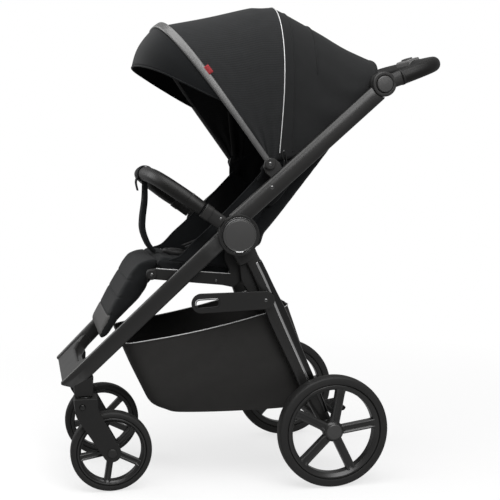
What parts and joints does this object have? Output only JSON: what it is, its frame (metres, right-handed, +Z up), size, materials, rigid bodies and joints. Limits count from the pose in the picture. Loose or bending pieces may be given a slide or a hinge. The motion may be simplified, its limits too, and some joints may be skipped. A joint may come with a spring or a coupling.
{
  "type": "baby stroller",
  "caption": "Folding baby stroller with reclining seat, extending canopy, bumper bar, tilting handle, swivelling front wheels and shopping basket",
  "frame": {"origin": "middle of the overall box, on the floor", "axes": "+Z up, front toward -Y, the stroller's left toward +X"},
  "size_m": [0.512, 0.953, 1.1831],
  "materials": {
    "frame_metal": "graphite powder coat, satin",
    "moulding": "fine-textured black nylon",
    "button_plastic": "smooth satin black plastic",
    "steel": "turned and zinc plated",
    "seat_fabric": "woven polyester, quilted",
    "canopy_fabric": "ribbed woven polyester",
    "trim_band": "smooth grey binding",
    "basket_fabric": "coated polyester",
    "grip_leather": "stitched faux leather",
    "tyre": "solid foam rubber, matte",
    "wheel_plastic": "moulded nylon, satin with glossy edges"
  },
  "bodies": {
    "root": {"front_tube_left": "frame_metal", "front_tube_right": "frame_metal", "front_cross_panel": "frame_metal", "caster_socket_left": "moulding", "caster_socket_right": "moulding", "hub_housing_left": "moulding", "hub_housing_right": "moulding", "hub_cap_left": "button_plastic", "hub_cap_right": "button_plastic", "hub_pin_left": "steel", "hub_pin_right": "steel", "seat_rail_left": "moulding", "seat_rail_right": "moulding", "seat_pad": "seat_fabric", "seat_wing_left": "seat_fabric", "seat_wing_right": "seat_fabric", "basket": "basket_fabric"},
    "handle_frame": {"upper_tube_left": "frame_metal", "upper_tube_right": "frame_metal", "handle_joint_left": "moulding", "handle_joint_right": "moulding", "canopy_bracket_left": "moulding", "canopy_bracket_right": "moulding", "canopy_bow": "moulding", "canopy_rear_panel": "canopy_fabric"},
    "seat_back": {"backrest": "seat_fabric"},
    "canopy_front": {"canopy_front_panel": "canopy_fabric", "canopy_hoop": "trim_band", "canopy_visor": "canopy_fabric"},
    "rear_frame": {"rear_leg_left": "frame_metal", "rear_leg_right": "frame_metal", "rear_axle": "steel"},
    "brake": {"brake_pedal": "moulding"},
    "carry_arm": {"carry_handle": "moulding"},
    "bumper": {"bumper_arm_left": "moulding", "bumper_arm_right": "moulding", "bumper_bar": "grip_leather", "crotch_strap": "seat_fabric"},
    "foot_rest": {"leg_rest": "seat_fabric"},
    "push_handle": {"handle_arm_left": "moulding", "handle_arm_right": "moulding", "handle_grip": "grip_leather", "fold_button_housing": "moulding"},
    "fold_release": {"fold_button": "button_plastic"},
    "tilt_button_left": {"handle_button_left": "button_plastic"},
    "tilt_button_right": {"handle_button_right": "button_plastic"},
    "caster_left": {"caster_fork_left": "moulding"},
    "caster_right": {"caster_fork_right": "moulding"},
    "swivel_button_left": {"swivel_lock_left": "button_plastic"},
    "swivel_button_right": {"swivel_lock_right": "button_plastic"},
    "front_wheel_left": {"front_tyre_left": "tyre", "front_rim_left": "wheel_plastic"},
    "front_wheel_right": {"front_tyre_right": "tyre", "front_rim_right": "wheel_plastic"},
    "rear_wheel_left": {"rear_tyre_left": "tyre", "rear_rim_left": "wheel_plastic"},
    "rear_wheel_right": {"rear_tyre_right": "tyre", "rear_rim_right": "wheel_plastic"}
  },
  "joints": [
    {"name": "frame_fold", "type": "hinge", "parent": "root", "child": "handle_frame", "pos_m": [0, -0.05559, 0.626], "axis": [1, 0, 0], "range_deg": [0, 83]},
    {"name": "rear_leg_fold", "type": "hinge", "parent": "root", "child": "rear_frame", "pos_m": [0, -0.05559, 0.626], "axis": [1, 0, 0], "range_deg": [-37.35, 0]},
    {"name": "bumper_drop", "type": "hinge", "parent": "root", "child": "bumper", "pos_m": [0, -0.05559, 0.626], "axis": [1, 0, 0], "range_deg": [0, 24.9], "deforming": ["crotch_strap"]},
    {"name": "seat_recline", "type": "hinge", "parent": "handle_frame", "child": "seat_back", "pos_m": [0, -0.00459, 0.566], "axis": [1, 0, 0], "range_deg": [-30, 0]},
    {"name": "canopy_fold", "type": "hinge", "parent": "handle_frame", "child": "canopy_front", "pos_m": [0, 0.02441, 0.794], "axis": [1, 0, 0], "range_deg": [-40, 0]},
    {"name": "handle_tilt", "type": "hinge", "parent": "handle_frame", "child": "push_handle", "pos_m": [0, 0.30641, 0.985], "axis": [1, 0, 0], "range_deg": [-60, 50]},
    {"name": "fold_button_press", "type": "slide", "parent": "push_handle", "child": "fold_release", "axis": [0, -0.3239, 0.9461], "range_m": [-0.0028, 0], "stiffness_N_per_m": 400},
    {"name": "tilt_button_press_left", "type": "slide", "parent": "push_handle", "child": "tilt_button_left", "axis": [1, 0, 0], "range_m": [-0.003, 0], "stiffness_N_per_m": 400},
    {"name": "tilt_button_press_right", "type": "slide", "parent": "push_handle", "child": "tilt_button_right", "axis": [-1, 0, 0], "range_m": [-0.003, 0], "stiffness_N_per_m": 400},
    {"name": "leg_rest_tilt", "type": "hinge", "parent": "root", "child": "foot_rest", "pos_m": [0, -0.25559, 0.53], "axis": [1, 0, 0], "range_deg": [-60, 0]},
    {"name": "carry_handle_swing", "type": "hinge", "parent": "rear_frame", "child": "carry_arm", "pos_m": [0.2195, 0.01441, 0.466], "axis": [1, 0, 0], "range_deg": [0, 60]},
    {"name": "brake_press", "type": "hinge", "parent": "rear_frame", "child": "brake", "pos_m": [0.114, 0.19741, 0.166], "axis": [1, 0, 0], "range_deg": [-18, 0]},
    {"name": "caster_swivel_left", "type": "hinge", "parent": "root", "child": "caster_left", "pos_m": [0.15, -0.41759, 0.23], "axis": [0, 0, 1], "continuous": true},
    {"name": "swivel_lock_press_left", "type": "slide", "parent": "caster_left", "child": "swivel_button_left", "axis": [1, 0, 0], "range_m": [-0.002, 0], "stiffness_N_per_m": 300},
    {"name": "front_wheel_spin_left", "type": "hinge", "parent": "caster_left", "child": "front_wheel_left", "pos_m": [0.15, -0.35559, 0.099], "axis": [1, 0, 0], "continuous": true},
    {"name": "rear_wheel_spin_left", "type": "hinge", "parent": "rear_frame", "child": "rear_wheel_left", "pos_m": [0.238, 0.17941, 0.139], "axis": [1, 0, 0], "continuous": true},
    {"name": "caster_swivel_right", "type": "hinge", "parent": "root", "child": "caster_right", "pos_m": [-0.15, -0.41759, 0.23], "axis": [0, 0, 1], "continuous": true},
    {"name": "swivel_lock_press_right", "type": "slide", "parent": "caster_right", "child": "swivel_button_right", "axis": [-1, 0, 0], "range_m": [-0.002, 0], "stiffness_N_per_m": 300},
    {"name": "front_wheel_spin_right", "type": "hinge", "parent": "caster_right", "child": "front_wheel_right", "pos_m": [-0.15, -0.35559, 0.099], "axis": [1, 0, 0], "continuous": true},
    {"name": "rear_wheel_spin_right", "type": "hinge", "parent": "rear_frame", "child": "rear_wheel_right", "pos_m": [-0.238, 0.17941, 0.139], "axis": [1, 0, 0], "continuous": true}
  ],
  "couplings": [
    {"joint": "rear_leg_fold", "follows": "frame_fold", "ratio": -0.45},
    {"joint": "bumper_drop", "follows": "frame_fold", "ratio": 0.3}
  ]
}
